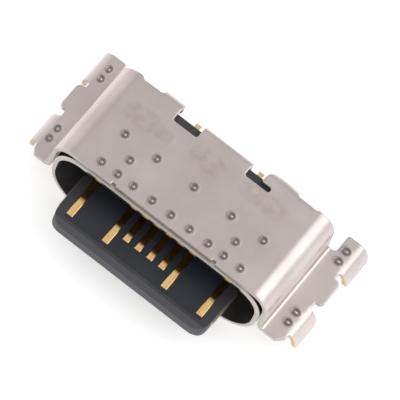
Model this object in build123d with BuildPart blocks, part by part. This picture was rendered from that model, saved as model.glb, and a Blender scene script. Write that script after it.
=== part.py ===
"""A mid-mount charging receptacle for the edge of a phone board.

A stamped cover sits over a drawn metal mouth. The cover's wings lie on the board, its
four legs go into slots of the board, and the mouth hangs in a cut-out between them.
A moulded tongue with eight contacts on each face sticks out of the mouth.

Frame: X across the mouth, Y into the board (the plug comes in from -Y), Z up.
The origin is the middle of the flat underside of the mouth tube, on which it rests.
Places along Y are given as distances behind the front edge of the cover, and setbacks
as distances behind the tip of the tongue.
"""
import os

from build123d import *

# Mouth tube, a drawn section with round lower corners and tighter ones under the cover
mouth_width = 8.34
mouth_height = 2.56
mouth_upper_radius = 0.82
tube_wall = 0.17
tube_depth = 3.15
rim_reach = 0.05
rim_edge_radius = 0.07

# Tongue and its moulded root
tongue_width = 6.44
tongue_thickness = 0.70
tongue_reach = 1.74
tongue_corner_radius = 0.50
nose_bevel_length = 0.22
nose_bevel_height = 0.13
cavity_depth = 2.70
root_length = 0.65
root_width = 6.80
root_thickness = 1.24
root_edge_radius = 0.12

# Base housing behind the cavity
housing_rear = 3.66
housing_lower_radius = 1.10
tube_fit_gap = 0.01
cover_fit_gap = 0.02
flange_lift = 0.12

# First-shot insulators that carry the contacts
tongue_side_wall = 0.32
insulator_nose_setback = 0.34
insulator_block_width = 6.10
insulator_block_height = 0.62
insulator_block_start = 2.95
insulator_block_end = 3.40

# Steel plate in the middle of the tongue
plate_thickness = 0.15
plate_side_reach = 0.06
plate_nose_width = 4.90
plate_nose_setback = 0.24
plate_slope_setback = 0.42
plate_shoulder_setback = 0.69
latch_notch_start = 0.35
latch_notch_length = 0.75
latch_notch_depth = 0.32
latch_web = 0.06
latch_notch_radius = 0.10
plate_end = 3.40
plate_foot_width = 0.45
plate_foot_spacing = 6.20
plate_foot_bend = 4.15
plate_foot_below_board = 0.40
plate_foot_radius = 0.10

# Contacts, numbered from 1 at the left on each face of the tongue
contact_pitch = 0.50
contact_steps = (-5.5, -2.5, -1.5, -0.5, 0.5, 1.5, 2.5, 5.5)
contact_kinds = ("long", "jogged", "short", "short", "short", "short", "long", "long")
contact_width = 0.25
contact_thickness = 0.12
long_contact_setback = 0.49
short_contact_setback = 0.99
jog_start = 2.95
jog_end = 3.35
tail_jog = 0.20
upper_tail_bend = 4.14
upper_tail_end = 4.64
lower_tail_end = 3.96
tail_bend_radius = 0.10

# Stamped cover
sheet = 0.17
side_gap = 0.03
side_draft = 0.06
shoulder_radius = 0.45
wing_bend_radius = 0.20
leg_bend_radius = 0.12
cover_depth = 3.94
wing_depth = 4.74
leg_span = 11.30
leg_below_board = 0.54
front_leg_start = 0.45
front_leg_end = 1.70
rear_leg_start = 3.40
rear_leg_end = 4.66
leg_corner_radius = 0.14

# Wing outline
wing_front_inset = 0.50
wing_front_corner = 0.24
wing_bump_start = 2.00
wing_bump_end = 3.12
wing_bump_reach = 0.28
wing_bump_chamfer = 0.12
wing_rear_tab_width = 0.50
wing_rear_notch_radius = 0.14

# Front edge of the cover's top, where it was cut off its carrier strip
carrier_cut_width = 4.24
carrier_cut_depth = 0.06
carrier_relief_width = 0.16
carrier_relief_depth = 0.14

# Rear edge of the cover's top and its bent lips
lip_start = 3.50
lip_drop = 0.80
lip_corner_radius = 0.22
centre_lip_width = 2.04
centre_lip_rear = 3.92
centre_lip_bend_radius = 0.10
side_lip_inner = 2.03
side_lip_outer = 2.72
side_lip_rear = 4.10
side_lip_bend_radius = 0.25
finger_tip = 1.58
finger_corner_radius = 0.08
rear_notch_start = 3.30
rear_notch_radius = 0.10
rear_step_outer = 3.72
rear_step_depth = 0.10
rear_step_radius = 0.05

# Weld dimples: rows on the top, each a distance behind the front and places across
weld_diameter = 0.28
weld_floor_diameter = 0.14
weld_depth = 0.05
top_weld_rows = (
    (0.45, (0.00, 0.79, 1.575, 2.24, 2.93)),
    (1.12, (2.24,)),
    (1.78, (0.00, 1.575, 2.93)),
)
wing_weld_offset = 0.05
wing_weld_places = (0.79, 1.26, 3.72, 4.19)

# Places worked out from the sizes above
tube_width = mouth_width + 2 * tube_wall
tube_height = mouth_height + 2 * tube_wall
front = rim_reach - tube_depth / 2
tube_rear = tube_depth - rim_reach
middle = tube_height / 2
insulator_width = tongue_width - 2 * tongue_side_wall
plate_width = tongue_width + 2 * plate_side_reach
latch_floor = insulator_width / 2 + latch_web
tongue_tip = -tongue_reach
board_top = middle - tongue_thickness / 2
cover_top = tube_height + sheet
top_sheet = cover_top - sheet / 2
wing_sheet = board_top + sheet / 2
side_foot = tube_width / 2 + side_gap + sheet / 2
side_head = side_foot - side_draft
wing_flat_start = side_foot + sheet / 2 + wing_bend_radius
wing_flat_end = leg_span / 2 - sheet - leg_bend_radius
wing_weld_x = (wing_flat_start + wing_flat_end) / 2 + wing_weld_offset
leg_sheet = leg_span / 2 - sheet / 2
leg_bottom = board_top - leg_below_board


def section_at(y):
    """The upright plane at Y, on which a sketch is drawn as X and Z.

    Its normal points to the plug, so a minus amount extrudes towards the board.
    """
    return Plane.XZ.offset(-(front + y))


def plan_at(z):
    """The level plane at Z, on which a sketch is drawn as X and distance from the front."""
    return Plane(origin=(0, front, z), x_dir=(1, 0, 0), z_dir=(0, 0, 1))


def side_view():
    """The plane of symmetry, on which a sketch is drawn as distance from the front and Z."""
    return Plane(origin=(0, front, 0), x_dir=(0, 1, 0), z_dir=(1, 0, 0))


def both_sides(half_outline):
    """The half outline's points at plus X, followed back by their mirror images."""
    return list(half_outline) + [(-x, y) for x, y in reversed(half_outline)]


def mouth_section(grow):
    """The mouth's section as a sketch of X and Z, grown outwards by the given amount."""
    with BuildSketch() as section:
        with Locations((0, middle)):
            Rectangle(mouth_width + 2 * grow, mouth_height + 2 * grow)
        fillet(section.vertices().group_by(Axis.Y)[-1], mouth_upper_radius + grow)
        fillet(section.vertices().group_by(Axis.Y)[0], mouth_height / 2 + grow)
    return section.sketch


os.makedirs("parts", exist_ok=True)


# Mouth tube
with BuildPart() as mouth_tube:
    with BuildSketch(section_at(-rim_reach)):
        add(mouth_section(tube_wall))
        add(mouth_section(0), mode=Mode.SUBTRACT)
    extrude(amount=-tube_depth)
    rim_face = mouth_tube.faces().sort_by(Axis.Y)[0]
    fillet(rim_face.outer_wire().edges(), rim_edge_radius)


# Contacts of one face: place across, distance of the tip behind the front, and kind
contact_places = [
    (
        step * contact_pitch,
        tongue_tip + (short_contact_setback if kind == "short" else long_contact_setback),
        kind,
    )
    for step, kind in zip(contact_steps, contact_kinds)
]
strip_level = tongue_thickness / 2 - contact_thickness / 2
tail_level = board_top + contact_thickness / 2
tail_centre_radius = tail_bend_radius + contact_thickness / 2


def contact(x, start, tail_x, tail_end, side_line):
    """One stamped strip: its side view, as wide as the part, cut to its plan outline."""
    half = contact_width / 2
    with BuildPart() as strip:
        with BuildSketch(side_view()):
            trace(side_line, contact_thickness)
        extrude(amount=mouth_width / 2, both=True)
        with BuildSketch(plan_at(0)):
            with BuildLine():
                Polyline(
                    (x - half, start),
                    (x + half, start),
                    (x + half, jog_start),
                    (tail_x + half, jog_end),
                    (tail_x + half, tail_end),
                    (tail_x - half, tail_end),
                    (tail_x - half, jog_end),
                    (x - half, jog_start),
                    close=True,
                )
            make_face()
        extrude(amount=tube_height, mode=Mode.INTERSECT)
    return strip.part


contacts = []
for number, (x, start, kind) in enumerate(contact_places, 1):
    upper_line = FilletPolyline(
        (start, middle + strip_level),
        (upper_tail_bend, middle + strip_level),
        (upper_tail_bend, tail_level),
        (upper_tail_end, tail_level),
        radius=tail_centre_radius,
    )
    tail_x = x - tail_jog if kind == "jogged" else x
    upper = contact(x, start, tail_x, upper_tail_end, upper_line)
    upper.label = f"upper_contact_{number}"
    contacts.append(upper)
for number, (x, start, kind) in enumerate(contact_places, 1):
    lower_line = Line((start, middle - strip_level), (lower_tail_end, middle - strip_level))
    lower = contact(x, start, x, lower_tail_end, lower_line)
    lower.label = f"lower_contact_{number}"
    contacts.append(lower)


# Mid plate: a flat plate with latch notches, and two feet bent down into the board
with BuildPart() as mid_plate:
    with BuildSketch(plan_at(middle - plate_thickness / 2)):
        with BuildLine():
            Polyline(
                both_sides(
                    [
                        (plate_nose_width / 2, tongue_tip + plate_nose_setback),
                        (plate_nose_width / 2, tongue_tip + plate_slope_setback),
                        (plate_width / 2, tongue_tip + plate_shoulder_setback),
                        (plate_width / 2, plate_end),
                    ]
                ),
                close=True,
            )
        make_face()
        with Locations(
            (latch_floor + latch_notch_depth, latch_notch_start + latch_notch_length / 2),
            (-latch_floor - latch_notch_depth, latch_notch_start + latch_notch_length / 2),
        ):
            RectangleRounded(
                2 * latch_notch_depth, latch_notch_length, latch_notch_radius, mode=Mode.SUBTRACT
            )
    extrude(amount=plate_thickness)
    with BuildSketch(side_view().offset(plate_foot_spacing / 2 - plate_foot_width / 2)):
        with BuildLine() as foot_line:
            FilletPolyline(
                (insulator_block_start, middle),
                (plate_foot_bend, middle),
                (plate_foot_bend, board_top - plate_foot_below_board),
                radius=plate_foot_radius + plate_thickness / 2,
            )
        trace(foot_line.line, plate_thickness)
    foot = extrude(amount=plate_foot_width)
    mirror(foot, about=Plane.YZ)


# First-shot insulators: a thin leaf in the tongue and a block in the base, on each side
def insulator(side):
    """The insulator above the mid plate for side 1, and below it for side -1."""
    inner = middle + side * plate_thickness / 2
    with BuildPart() as moulding:
        with BuildSketch(plan_at(inner)):
            leaf_start = tongue_tip + insulator_nose_setback
            with Locations((0, (leaf_start + insulator_block_end) / 2)):
                Rectangle(insulator_width, insulator_block_end - leaf_start)
        extrude(amount=side * (tongue_thickness - plate_thickness) / 2)
        with BuildSketch(plan_at(inner)):
            with Locations((0, (insulator_block_start + insulator_block_end) / 2)):
                Rectangle(insulator_block_width, insulator_block_end - insulator_block_start)
        extrude(amount=side * (insulator_block_height - plate_thickness / 2))
        add([mid_plate.part] + contacts, mode=Mode.SUBTRACT)
    return moulding.part


upper_insulator = insulator(1)
upper_insulator.label = "upper_insulator"
lower_insulator = insulator(-1)
lower_insulator.label = "lower_insulator"


# Housing: the second shot, with the tongue's nose and sides, its root and the base
with BuildPart() as housing:
    with BuildSketch(side_view()):
        flat = middle + tongue_thickness / 2
        with BuildLine():
            Polyline(
                (tongue_tip, flat - nose_bevel_height),
                (tongue_tip + nose_bevel_length, flat),
                (cavity_depth, flat),
                (cavity_depth, 2 * middle - flat),
                (tongue_tip + nose_bevel_length, 2 * middle - flat),
                (tongue_tip, 2 * middle - flat + nose_bevel_height),
                close=True,
            )
        make_face()
    extrude(amount=tongue_width / 2, both=True)
    with BuildSketch(plan_at(0)) as tongue_plan:
        with Locations((0, (tongue_tip + cavity_depth) / 2)):
            Rectangle(tongue_width, cavity_depth - tongue_tip)
        fillet(tongue_plan.vertices().group_by(Axis.Y)[0], tongue_corner_radius)
    extrude(amount=tube_height, mode=Mode.INTERSECT)
    # root step
    with BuildSketch(section_at(cavity_depth - root_length)):
        with Locations((0, middle)):
            RectangleRounded(root_width, root_thickness, root_edge_radius)
    extrude(amount=-root_length)
    # plug of the tube
    with BuildSketch(section_at(cavity_depth)):
        add(mouth_section(-tube_fit_gap))
    extrude(amount=-(tube_rear - cavity_depth))
    # flange behind the tube, which fills the cover
    with BuildSketch(section_at(tube_rear + tube_fit_gap)) as flange_section:
        flange_top = tube_height - cover_fit_gap
        flange_width = 2 * (side_head - sheet / 2 - cover_fit_gap)
        with Locations((0, (flange_lift + flange_top) / 2)):
            Rectangle(flange_width, flange_top - flange_lift)
        fillet(flange_section.vertices().group_by(Axis.Y)[-1], shoulder_radius)
        fillet(flange_section.vertices().group_by(Axis.Y)[0], housing_lower_radius)
    extrude(amount=-(housing_rear - tube_rear - tube_fit_gap))
    # neck between the plug and the flange
    with BuildSketch(section_at(tube_rear)):
        add(mouth_section(-tube_fit_gap))
    extrude(amount=-tube_fit_gap)
    # latch notches in the tongue's sides
    with BuildSketch(plan_at(0)):
        with Locations(
            (latch_floor + latch_notch_depth, latch_notch_start + latch_notch_length / 2),
            (-latch_floor - latch_notch_depth, latch_notch_start + latch_notch_length / 2),
        ):
            RectangleRounded(2 * latch_notch_depth, latch_notch_length, latch_notch_radius)
    extrude(amount=tube_height, mode=Mode.SUBTRACT)
    add([mid_plate.part, upper_insulator, lower_insulator] + contacts, mode=Mode.SUBTRACT)


# Cover: the bent section, cut to its outline, with the legs and lips bent down
with BuildPart() as cover_plate:
    with BuildSketch(section_at(0)):
        with BuildLine() as hood_line:
            FilletPolyline(
                (0, top_sheet),
                (side_head, top_sheet),
                (side_foot, wing_sheet),
                (wing_flat_end, wing_sheet),
                radius=(shoulder_radius + sheet / 2, wing_bend_radius + sheet / 2),
            )
        trace(hood_line.line, sheet)
    extrude(amount=-wing_depth)
    # rear of the hood, down to the wing's rear notch
    with BuildSketch(plan_at(0)) as hood_cut:
        with Locations((0, wing_depth)):
            RectangleRounded(
                2 * (wing_flat_end - wing_rear_tab_width),
                2 * (wing_depth - cover_depth),
                wing_rear_notch_radius,
            )
    extrude(amount=cover_top + sheet, mode=Mode.SUBTRACT)
    # rear edge of the top, cut back for the lips
    centre_bend = centre_lip_rear - sheet - centre_lip_bend_radius
    side_bend = side_lip_rear - sheet - side_lip_bend_radius
    with BuildSketch(plan_at(middle)):
        with BuildLine():
            FilletPolyline(
                (-centre_lip_width, cover_depth + sheet),
                (-centre_lip_width, centre_bend),
                (centre_lip_width / 2, centre_bend),
                (centre_lip_width / 2, rear_notch_start),
                (side_lip_inner, rear_notch_start),
                (side_lip_inner, side_bend),
                (side_lip_outer, side_bend),
                (side_lip_outer, cover_depth - rear_step_depth),
                (rear_step_outer, cover_depth - rear_step_depth),
                (rear_step_outer, cover_depth + sheet),
                radius=(0, 0, rear_notch_radius, rear_notch_radius, 0, 0, 0, 0, rear_step_radius, 0),
                close=True,
            )
        make_face()
    extrude(amount=cover_top, mode=Mode.SUBTRACT)
    # wing: front corner, bump between the legs, rear corner
    with BuildSketch(plan_at(board_top)):
        with BuildLine():
            Polyline(
                (leg_span / 2 - wing_front_inset, 0),
                (leg_span / 2, 0),
                (leg_span / 2, wing_front_corner),
                (wing_flat_end, wing_front_corner),
                close=True,
            )
        make_face()
    extrude(amount=sheet, mode=Mode.SUBTRACT)
    with BuildSketch(plan_at(board_top)) as bump:
        with Locations((wing_flat_end, (wing_bump_start + wing_bump_end) / 2)):
            Rectangle(2 * wing_bump_reach, wing_bump_end - wing_bump_start)
        chamfer(bump.vertices().group_by(Axis.X)[-1], wing_bump_chamfer)
    extrude(amount=sheet)
    for start, end in ((front_leg_start, front_leg_end), (rear_leg_start, rear_leg_end)):
        with BuildSketch(section_at(start)):
            with BuildLine() as leg_line:
                FilletPolyline(
                    (wing_flat_end - sheet, wing_sheet),
                    (leg_sheet, wing_sheet),
                    (leg_sheet, leg_bottom),
                    radius=leg_bend_radius + sheet / 2,
                )
            trace(leg_line.line, sheet)
        extrude(amount=-(end - start))
    leg_corners = cover_plate.edges().filter_by(Axis.X).group_by(Axis.Z)[0]
    fillet(leg_corners, leg_corner_radius)
    # front edge, cut off the carrier strip between two reliefs
    with BuildSketch(plan_at(middle)):
        with Locations((0, 0)):
            Rectangle(carrier_cut_width, 2 * carrier_cut_depth)
        with Locations((carrier_cut_width / 2, 0)):
            Rectangle(carrier_relief_width, 2 * carrier_relief_depth)
    extrude(amount=cover_top, mode=Mode.SUBTRACT)
    mirror(about=Plane.YZ)
    # lips bent down over the housing's rear; the right one reaches across its notch
    for left, right, rear, radius in (
        (-centre_lip_width / 2, centre_lip_width / 2, centre_lip_rear, centre_lip_bend_radius),
        (-side_lip_outer, -side_lip_inner, side_lip_rear, side_lip_bend_radius),
        (finger_tip, side_lip_outer, side_lip_rear, side_lip_bend_radius),
    ):
        with BuildSketch(side_view().offset(left)):
            with BuildLine() as lip_line:
                FilletPolyline(
                    (lip_start, top_sheet),
                    (rear - sheet / 2, top_sheet),
                    (rear - sheet / 2, cover_top - lip_drop),
                    radius=radius + sheet / 2,
                )
            trace(lip_line.line, sheet)
        extrude(amount=right - left)
        lip_corners = cover_plate.edges(Select.LAST).filter_by(Axis.Y).group_by(Axis.Z)[0]
        fillet(lip_corners, lip_corner_radius)
    finger_corner = (
        cover_plate.edges()
        .filter_by(Axis.Z)
        .sort_by_distance((finger_tip, front + lip_start, top_sheet))[0]
    )
    fillet(finger_corner, finger_corner_radius)
    # weld dimples
    top_welds = [
        (side * x, front + y, cover_top - weld_depth / 2)
        for y, row in top_weld_rows
        for x in row
        for side in ((1, -1) if x else (1,))
    ]
    wing_welds = [
        (side * wing_weld_x, front + y, board_top + sheet - weld_depth / 2)
        for y in wing_weld_places
        for side in (1, -1)
    ]
    with Locations(top_welds + wing_welds):
        Cone(weld_floor_diameter / 2, weld_diameter / 2, weld_depth, mode=Mode.SUBTRACT)


cover_plate.part.label = "cover_plate"
mouth_tube.part.label = "mouth_tube"
housing.part.label = "housing"
mid_plate.part.label = "mid_plate"

for piece in [
    cover_plate.part,
    mouth_tube.part,
    housing.part,
    mid_plate.part,
    upper_insulator,
    lower_insulator,
] + contacts:
    export_step(piece, f"parts/{piece.label}.step")
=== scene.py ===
"""Looks of a charging port connector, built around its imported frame.

Lengths inside the classes are millimetres, as on a drawing of the part, and meshes are
made in metres. X runs across the mouth, Y into the board and Z up.
"""
from __future__ import annotations

import logging
import math
from dataclasses import dataclass, field
from enum import Enum
from typing import Sequence

import bpy
import numpy as np
from mathutils import Matrix, Vector
from mathutils.geometry import delaunay_2d_cdt

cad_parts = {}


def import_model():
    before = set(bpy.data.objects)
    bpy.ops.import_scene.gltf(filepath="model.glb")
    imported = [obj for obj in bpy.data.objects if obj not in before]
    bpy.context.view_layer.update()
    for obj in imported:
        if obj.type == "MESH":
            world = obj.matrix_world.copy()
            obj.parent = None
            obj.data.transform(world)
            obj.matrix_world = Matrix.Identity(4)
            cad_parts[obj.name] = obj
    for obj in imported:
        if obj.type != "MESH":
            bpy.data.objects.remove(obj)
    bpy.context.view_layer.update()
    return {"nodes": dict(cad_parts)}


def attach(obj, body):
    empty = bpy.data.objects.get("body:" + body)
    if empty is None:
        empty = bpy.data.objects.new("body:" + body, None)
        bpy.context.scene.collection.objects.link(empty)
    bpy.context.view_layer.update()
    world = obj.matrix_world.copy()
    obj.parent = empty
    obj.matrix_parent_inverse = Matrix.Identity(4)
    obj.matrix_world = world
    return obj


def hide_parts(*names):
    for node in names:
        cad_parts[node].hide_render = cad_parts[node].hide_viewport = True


LOG = logging.getLogger("charging_port")
MM = 0.001
BODY = "root"
STRAIGHT = 1e-6  # a turn in radians too small to round

Colour = tuple[float, float, float]
Point = tuple[float, float]
Corner = tuple[float, float, float]
Place = tuple[float, float, float]
Socket = bpy.types.NodeSocket


# Named options


class Sum(Enum):
    """What a Math or Vector Math node works out."""

    ABSOLUTE = "ABSOLUTE"
    COMPARE = "COMPARE"
    DOT_PRODUCT = "DOT_PRODUCT"
    GREATER_THAN = "GREATER_THAN"
    LESS_THAN = "LESS_THAN"
    MAXIMUM = "MAXIMUM"
    MULTIPLY = "MULTIPLY"
    SUBTRACT = "SUBTRACT"


class Axis(Enum):
    """Directions along which a finish changes."""

    ACROSS = "X"
    BACK = "Y"


class Ray(Enum):
    """Rays that find the floor white."""

    CAMERA = "Is Camera Ray"
    GLOSSY = "Is Glossy Ray"
    TRANSMISSION = "Is Transmission Ray"


class Mark(Enum):
    """Marks stored on the cover's points, which its steel reads."""

    MATT = "matt"
    MELT = "melt"
    # A painted highlight along the front edges.
    EDGE_SHEEN = "rim"
    # Painted shade in a ring round each weld's nub, partly heat tint.
    WELD = "weld"


class Skin(Enum):
    """Places of the two finishes in the cover's list of materials."""

    SHEET = 0
    CUT = 1


class Side(Enum):
    """Sides of the part, seen from the plug."""

    LEFT = -1
    RIGHT = 1


# Small tools


def linear(red: float, green: float, blue: float) -> Colour:
    """Turn a display colour into the scene-linear one that shaders take.

    Args:
        red, green, blue: Display values of 0 to 255.

    Returns:
        The three scene-linear values.
    """

    def one(value: float) -> float:
        """Undo the display curve for one channel."""
        share = value / 255
        return share / 12.92 if share <= 0.04045 else ((share + 0.055) / 1.055) ** 2.4

    return one(red), one(green), one(blue)


def grey(level: float) -> Colour:
    """A level as a colour, for nodes that mix colours."""
    return level, level, level


def show(thing: bpy.types.Object) -> bpy.types.Object:
    """Put an object into the scene and hand it back."""
    bpy.context.scene.collection.objects.link(thing)
    return thing


def mesh_object(name: str, points: np.ndarray, faces: list[tuple[int, ...]]) -> bpy.types.Object:
    """Make a smooth mesh object in the scene from points in millimetres.

    Args:
        name: The piece's name.
        points: One row of X, Y, Z for each point, in millimetres.
        faces: Point numbers of each face, anticlockwise seen from outside.

    Returns:
        The new object, at the origin, with its place in its mesh.
    """
    mesh = bpy.data.meshes.new(name)
    mesh.from_pydata((np.asarray(points) * MM).tolist(), [], faces)
    mesh.validate()
    mesh.shade_smooth()
    return show(bpy.data.objects.new(name, mesh))


def weight_normals(thing: bpy.types.Object) -> None:
    """Let the large faces keep flat shading beside the small rounded edges.

    Args:
        thing: The piece or node that gets the modifier.
    """
    weighted = thing.modifiers.new("weighted_normals", "WEIGHTED_NORMAL")
    weighted.weight = 50
    weighted.keep_sharp = True


def soften(node: bpy.types.Object, width: float) -> None:
    """Round a CAD node's edges a little with modifiers, and leave its mesh alone.

    Args:
        node: The node, whose mesh is loose triangles.
        width: How wide the rounding is, in millimetres.
    """
    joined = node.modifiers.new("joined", "WELD")
    joined.merge_threshold = 0.0005 * MM
    bevel = node.modifiers.new("rounded", "BEVEL")
    bevel.width = width * MM
    bevel.segments = 2
    bevel.limit_method = "ANGLE"
    bevel.angle_limit = math.radians(35)
    bevel.use_clamp_overlap = True
    weight_normals(node)


# Node trees


class Graph:
    """A short way to write the nodes and links of a tree."""

    def __init__(self, tree: bpy.types.NodeTree) -> None:
        """Start with the tree empty."""
        self.tree = tree
        self.tree.nodes.clear()

    def add(self, kind: str, values: dict | None = None, **settings: object) -> bpy.types.Node:
        """Add one node.

        Args:
            kind: The node's type name in Blender.
            values: Input name or number to a constant, or to a socket to link from.
            settings: Properties of the node itself.

        Returns:
            The new node.
        """
        node = self.tree.nodes.new(kind)
        for key, value in settings.items():
            setattr(node, key, value)
        for key, value in (values or {}).items():
            if isinstance(value, Socket):
                self.tree.links.new(value, node.inputs[key])
            else:
                node.inputs[key].default_value = value
        return node

    def maths(self, what: Sum, *terms: Socket | float) -> Socket:
        """Work out a number from numbers."""
        return self.add("ShaderNodeMath", dict(enumerate(terms)), operation=what.value).outputs[0]

    def vector(self, what: Sum, one: Socket, other: Socket | Place) -> Socket:
        """Work out a vector from two vectors, or a number for a dot product."""
        node = self.add("ShaderNodeVectorMath", {0: one, 1: other}, operation=what.value)
        return node.outputs["Value" if what is Sum.DOT_PRODUCT else "Vector"]

    def part(self, vector: Socket, axis: Axis) -> Socket:
        """One of a vector's three parts."""
        return self.add("ShaderNodeSeparateXYZ", {0: vector}).outputs[axis.value]

    def ramp(self, source: Socket, stops: Sequence[Point]) -> Socket:
        """Turn a number into a level through a colour ramp.

        Args:
            source: The socket that gives the number.
            stops: Place and level of each stop.

        Returns:
            The ramp's colour socket.
        """
        node = self.add("ShaderNodeValToRGB", {"Fac": source})
        elements = node.color_ramp.elements
        while len(elements) < len(stops):
            elements.new(1.0)
        for element, (place, level) in zip(elements, stops):
            element.position = place
            element.color = (*grey(level), 1)
        return node.outputs["Color"]

    def mix(self, share: Socket | float, one: Socket | Colour, other: Socket | Colour) -> Socket:
        """Mix two colours.

        Args:
            share: How much of the other colour there is, from 0 to 1.
            one: A constant or a socket.
            other: A constant or a socket.

        Returns:
            The socket of the mixed colour.
        """
        node = self.add("ShaderNodeMix", {0: share}, data_type="RGBA")
        for number, value in ((6, one), (7, other)):
            if isinstance(value, Socket):
                self.tree.links.new(value, node.inputs[number])
            else:
                node.inputs[number].default_value = (*value, 1)
        return node.outputs[2]


class Surface(Graph):
    """The nodes of one material."""

    def __init__(self, name: str) -> None:
        """Start a material with an empty tree.

        Args:
            name: The material's name.
        """
        self.material = bpy.data.materials.new(name)
        self.material.use_nodes = True
        super().__init__(self.material.node_tree)

    def place(self, stretch: Place = (1, 1, 1)) -> Socket:
        """Object coordinates, stretched along each axis."""
        source = self.add("ShaderNodeTexCoord").outputs["Object"]
        return self.add("ShaderNodeMapping", {"Vector": source, "Scale": stretch}).outputs["Vector"]

    def noise(self, scale: float | Place, detail: float = 3) -> Socket:
        """A noise level, even in all directions or stretched along each axis.

        Args:
            scale: Waves in a metre, the same along all axes or one for each.
            detail: How many finer layers it has.

        Returns:
            The socket of the level.
        """
        even = not isinstance(scale, tuple)
        where = self.place() if even else self.place(scale)
        values = {"Vector": where, "Scale": scale if even else 1, "Detail": detail}
        return self.add("ShaderNodeTexNoise", values).outputs["Fac"]

    def mark(self, mark: Mark) -> Socket:
        """A number stored on the mesh's points."""
        return self.add("ShaderNodeAttribute", attribute_name=mark.value).outputs["Fac"]

    def close(self, shader: bpy.types.Node) -> bpy.types.Material:
        """Link a shader to the output and hand over the material."""
        self.add("ShaderNodeOutputMaterial", {"Surface": shader.outputs[0]})
        return self.material

    def skin(self, colour: Socket, roughness: Socket, height: Socket, bump: Point,
             metallic: float = 1.0) -> bpy.types.Material:
        """Close the material as one opaque surface with a fine bump.

        Args:
            colour: Its base colour.
            roughness: Its roughness.
            height: The level that the bump follows.
            bump: The bump's depth in millimetres, and its strength.
            metallic: 1 for a metal and 0 for a moulding.

        Returns:
            The finished material.
        """
        depth, strength = bump
        values = {"Height": height, "Distance": depth * MM, "Strength": strength}
        normal = self.add("ShaderNodeBump", values).outputs["Normal"]
        return self.close(self.add(
            "ShaderNodeBsdfPrincipled",
            {"Base Color": colour, "Metallic": metallic, "Roughness": roughness, "Normal": normal},
        ))


# Finishes


@dataclass(frozen=True)
class SheetSteel:
    """Dull plated sheet: mottled and finely scratched, with a dark ring at each weld that is
    painted shade and partly heat tint, and a painted highlight along its front edges.
    """

    name: str
    colour: Colour
    roughness: float
    dark_share: Colour = (0.90, 0.89, 0.90)
    light_share: float = 1.08
    # Colour of the painted shade in the ring round each weld, partly heat tint.
    weld_shade_colour: Colour = linear(92, 84, 82)
    matt_colour: Colour = linear(172, 160, 153)
    # Colour of the painted highlight along the front edges.
    edge_sheen_colour: Colour = linear(214, 204, 200)
    melt_roughness: float = 0.08
    matt_extra: float = 0.09
    cloud_scale: float = 520
    ripple_scale: float = 1500
    blast_scale: float = 3600
    streak_scale: Place = (1100, 2600, 1100)
    bump: Point = (0.004, 0.14)

    def _colours(self, g: Surface, clouds: Socket, streaks: Socket, blasted: Socket) -> Socket:
        """Mix the sheet's own shades, and lay those of its marks over them, with painted shade at
        the welds and a painted highlight at the front edges.

        Args:
            g: The material's nodes.
            clouds: The level of the broad mottling.
            streaks: The level of the fine scratches.
            blasted: The level of the matt places' grain.

        Returns:
            The socket of the base colour.
        """
        darker = tuple(share * level for share, level in zip(self.dark_share, self.colour))
        lighter = tuple(min(1, self.light_share * level) for level in self.colour)
        base = g.mix(g.ramp(clouds, ((0.3, 0.0), (0.7, 1.0))), darker, lighter)
        base = g.mix(g.ramp(streaks, ((0.35, 0.0), (0.75, 0.08))), base, darker)
        grain = g.ramp(blasted, ((0.35, 0.22), (0.65, 0.58)))
        base = g.mix(g.maths(Sum.MULTIPLY, g.mark(Mark.MATT), grain), base, self.matt_colour)
        # A painted highlight along the front edges.
        base = g.mix(g.mark(Mark.EDGE_SHEEN), base, self.edge_sheen_colour)
        # Painted shade in a ring round each weld's nub, partly heat tint.
        return g.mix(g.mark(Mark.WELD), base, self.weld_shade_colour)

    def material(self) -> bpy.types.Material:
        """Build the material, in scales of a part a few millimetres across.

        Returns:
            The material.
        """
        g = Surface(self.name)
        clouds = g.noise(self.cloud_scale, 4)
        streaks = g.noise(self.streak_scale, 2)
        blasted = g.noise(self.blast_scale)
        stops = ((0.2, self.roughness - 0.02), (0.8, self.roughness + 0.03))
        matt = grey(self.roughness + self.matt_extra)
        level = g.mix(g.mark(Mark.MATT), g.ramp(streaks, stops), matt)
        level = g.mix(g.mark(Mark.MELT), level, grey(self.melt_roughness))
        height = g.mix(0.5, clouds, g.noise(self.ripple_scale, 2))
        height = g.mix(g.mark(Mark.MATT), height, blasted)
        return g.skin(self._colours(g, clouds, streaks, blasted), level, height, self.bump)


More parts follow.
